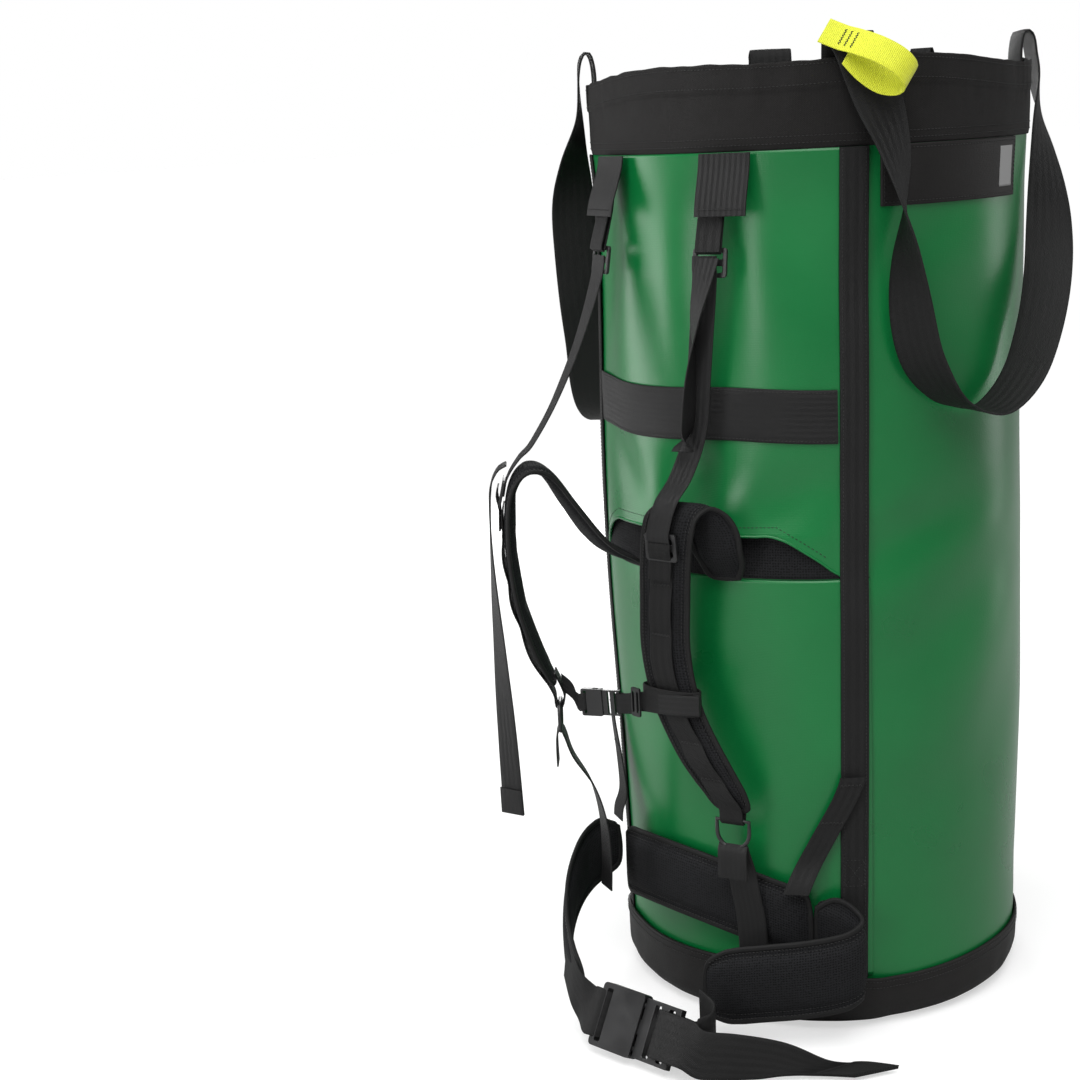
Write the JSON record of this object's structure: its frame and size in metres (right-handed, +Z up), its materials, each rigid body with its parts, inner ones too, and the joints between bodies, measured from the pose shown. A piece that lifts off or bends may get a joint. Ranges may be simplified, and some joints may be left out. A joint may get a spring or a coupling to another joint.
{
  "type": "rope haul and storage bag",
  "caption": "Tall cylindrical coated-fabric rope bag with webbing carry handles, mouth closure strap and a shoulder harness with hip belt.",
  "frame": {"origin": "centre of the underside of the base, on the bag's axis", "axes": "+Z up the bag, -Y out of the harness side, +X out of the side with the label patch"},
  "size_m": [0.5227, 0.5794, 0.9542],
  "materials": {
    "green_pvc": "glossy coated PVC sheet",
    "black_pvc": "matte coated PVC sheet",
    "black_nylon": "coarse diagonal weave",
    "black_webbing": "ribbed webbing",
    "yellow_webbing": "bright ribbed webbing",
    "padding": "mesh over foam with bound edges",
    "black_plastic": "satin moulded plastic",
    "base_foam": "closed-cell board"
  },
  "bodies": {
    "bag": {"base_boot": "black_pvc", "base_disc": "base_foam", "body_shell": "green_pvc", "chest_slider": "black_plastic", "chest_socket": "black_plastic", "chest_strap_left": "black_webbing", "chest_strap_right": "black_webbing", "closure_anchor": "black_webbing", "closure_buckle": "black_plastic", "closure_tab": "black_webbing", "collar": "black_nylon", "cross_band": "black_webbing", "edge_webbing_left": "black_webbing", "edge_webbing_right": "black_webbing", "harness_panel_lower": "green_pvc", "harness_panel_upper": "green_pvc", "haul_tab_left_front": "black_webbing", "haul_tab_left_rear": "black_webbing", "haul_tab_right_front": "black_webbing", "haul_tab_right_rear": "black_webbing", "hip_wing_left": "padding", "hip_wing_right": "padding", "label_patch": "black_pvc", "lifter_anchor_left": "black_webbing", "lifter_anchor_right": "black_webbing", "lifter_buckle_left": "black_plastic", "lifter_buckle_right": "black_plastic", "lifter_strap_left": "black_webbing", "lifter_strap_right": "black_webbing", "lifter_tail_left": "black_webbing", "lower_strap_left": "black_webbing", "lower_strap_right": "black_webbing", "lumbar_pad": "padding", "pad_buckle_left": "black_plastic", "pad_buckle_right": "black_plastic", "pad_webbing_left": "black_webbing", "pad_webbing_right": "black_webbing", "shoulder_pad_left": "padding", "shoulder_pad_right": "padding", "stabiliser_strap_left": "black_webbing", "stabiliser_strap_right": "black_webbing", "waist_socket": "black_plastic", "waist_tail": "black_webbing", "waist_webbing_left": "black_webbing", "waist_webbing_right": "black_webbing"},
    "haul_handle_right": {"haul_strap_right": "black_webbing", "clip_loop_right": "yellow_webbing"},
    "haul_handle_left": {"haul_strap_left": "black_webbing", "clip_loop_left": "yellow_webbing"},
    "closure_tail": {"closure_strap": "black_webbing"},
    "flap_right": {"lifter_flap_right": "black_webbing"},
    "flap_left": {"lifter_flap_left": "black_webbing"},
    "ring_right": {"d_ring_right": "black_plastic"},
    "ring_left": {"d_ring_left": "black_plastic"},
    "waist_plug_body": {"waist_plug": "black_plastic"},
    "waist_arm_right_body": {"waist_arm_right": "black_plastic"},
    "waist_arm_left_body": {"waist_arm_left": "black_plastic"},
    "chest_plug_body": {"chest_plug": "black_plastic"},
    "chest_arm_right_body": {"chest_arm_right": "black_plastic"},
    "chest_arm_left_body": {"chest_arm_left": "black_plastic"}
  },
  "joints": [
    {"name": "haul_handle_right_swing", "type": "hinge", "parent": "bag", "child": "haul_handle_right", "pos_m": [0.1516, 0, 0.948], "axis": [0, -1, 0], "range_deg": [0, 160]},
    {"name": "haul_handle_left_swing", "type": "hinge", "parent": "bag", "child": "haul_handle_left", "pos_m": [-0.1516, 0, 0.948], "axis": [0, 1, 0], "range_deg": [0, 160]},
    {"name": "closure_strap_swing", "type": "hinge", "parent": "bag", "child": "closure_tail", "pos_m": [0, 0.21444, 0.938], "axis": [1, 0, 0], "range_deg": [0, 165]},
    {"name": "lifter_flap_right_lift", "type": "hinge", "parent": "bag", "child": "flap_right", "pos_m": [0.05875, -0.21183, 0.85], "axis": [-0.9636, -0.2672, 0], "range_deg": [0, 70]},
    {"name": "lifter_flap_left_lift", "type": "hinge", "parent": "bag", "child": "flap_left", "pos_m": [-0.08235, -0.20382, 0.85], "axis": [-0.9272, 0.3746, 0], "range_deg": [0, 70]},
    {"name": "d_ring_right_swing", "type": "hinge", "parent": "bag", "child": "ring_right", "pos_m": [0.06092, -0.23059, 0.225], "axis": [-0.9668, -0.2555, 0], "range_deg": [-15, 45]},
    {"name": "d_ring_left_swing", "type": "hinge", "parent": "bag", "child": "ring_left", "pos_m": [-0.109, -0.283, 0.327], "axis": [-0.6428, 0.766, 0], "range_deg": [-15, 45]},
    {"name": "waist_buckle_release", "type": "slide", "parent": "bag", "child": "waist_plug_body", "axis": [1, 0, 0], "range_m": [0, 0.034], "deforming": ["waist_webbing_right", "waist_tail"]},
    {"name": "waist_arm_right_squeeze", "type": "hinge", "parent": "waist_plug_body", "child": "waist_arm_right_body", "pos_m": [0.016, -0.3155, 0.05169], "axis": [0, -0.866, 0.5], "range_deg": [0, 6], "stiffness_Nm_per_rad": 0.05},
    {"name": "waist_arm_left_squeeze", "type": "hinge", "parent": "waist_plug_body", "child": "waist_arm_left_body", "pos_m": [0.016, -0.3365, 0.01531], "axis": [0, -0.866, 0.5], "range_deg": [-6, 0], "stiffness_Nm_per_rad": 0.05},
    {"name": "chest_buckle_release", "type": "slide", "parent": "bag", "child": "chest_plug_body", "axis": [0.966, 0.2515, 0.0604], "range_m": [0, 0.014], "deforming": ["chest_strap_right"]},
    {"name": "chest_arm_right_squeeze", "type": "hinge", "parent": "chest_plug_body", "child": "chest_arm_right_body", "pos_m": [-0.06787, -0.26559, 0.33933], "axis": [0.2513, -0.9678, 0.0126], "range_deg": [0, 6], "stiffness_Nm_per_rad": 0.004},
    {"name": "chest_arm_left_squeeze", "type": "hinge", "parent": "chest_plug_body", "child": "chest_arm_left_body", "pos_m": [-0.06673, -0.26553, 0.32088], "axis": [0.2513, -0.9678, 0.0126], "range_deg": [-6, 0], "stiffness_Nm_per_rad": 0.004}
  ],
  "couplings": [
    {"joint": "waist_arm_left_squeeze", "follows": "waist_arm_right_squeeze", "ratio": -1},
    {"joint": "chest_arm_left_squeeze", "follows": "chest_arm_right_squeeze", "ratio": -1}
  ]
}
